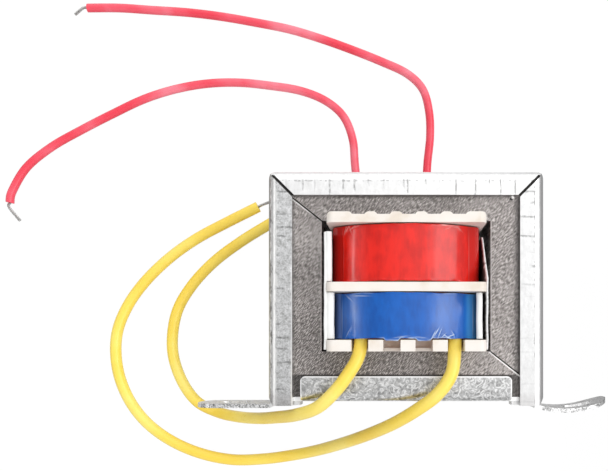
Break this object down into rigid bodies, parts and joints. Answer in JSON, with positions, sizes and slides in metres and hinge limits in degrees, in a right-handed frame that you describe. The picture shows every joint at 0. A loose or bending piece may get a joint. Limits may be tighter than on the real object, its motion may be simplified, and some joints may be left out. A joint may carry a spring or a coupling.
{
  "type": "transformer",
  "caption": "Small mains transformer: laminated core in a folded steel clamp frame with slotted feet, taped windings on a sectioned bobbin, and loose red and yellow leads.",
  "frame": {"origin": "middle of the frame's box with its feet, on the surface that the bobbin's rear flange edges lie on", "axes": "+X from the straight foot towards the bowed foot, +Y from the feet towards the frame's top, +Z from the surface it lies on towards the front face that the picture shows"},
  "size_m": [0.1271, 0.1017, 0.036],
  "materials": {
    "zinc_steel": "bright zinc plate with light scratches",
    "lamination_steel": "dull brushed sheet",
    "bobbin_plastic": "satin moulded",
    "copper_wire": "enamelled wire",
    "red_tape": "glossy film tape",
    "blue_tape": "glossy film tape",
    "liner_paper": "plain",
    "red_insulation": "satin flexible insulation",
    "yellow_insulation": "satin flexible insulation",
    "tinned_wire": "tinned strands"
  },
  "bodies": {
    "root": {"frame": "zinc_steel", "base_plate": "zinc_steel", "core_upper": "lamination_steel", "core_lower": "lamination_steel", "bobbin": "bobbin_plastic", "primary_winding": "copper_wire", "secondary_winding": "copper_wire", "primary_tape": "red_tape", "secondary_tape": "blue_tape", "left_liner": "liner_paper", "right_liner": "liner_paper", "primary_lead_left": "red_insulation", "primary_lead_right": "red_insulation", "secondary_lead_left": "yellow_insulation", "secondary_lead_right": "yellow_insulation", "primary_end_left": "tinned_wire", "primary_end_right": "tinned_wire", "secondary_end_left": "tinned_wire", "secondary_end_right": "tinned_wire", "primary_splice_left": "tinned_wire", "primary_splice_right": "tinned_wire", "secondary_splice_left": "tinned_wire", "secondary_splice_right": "tinned_wire"}
  },
  "joints": []
}
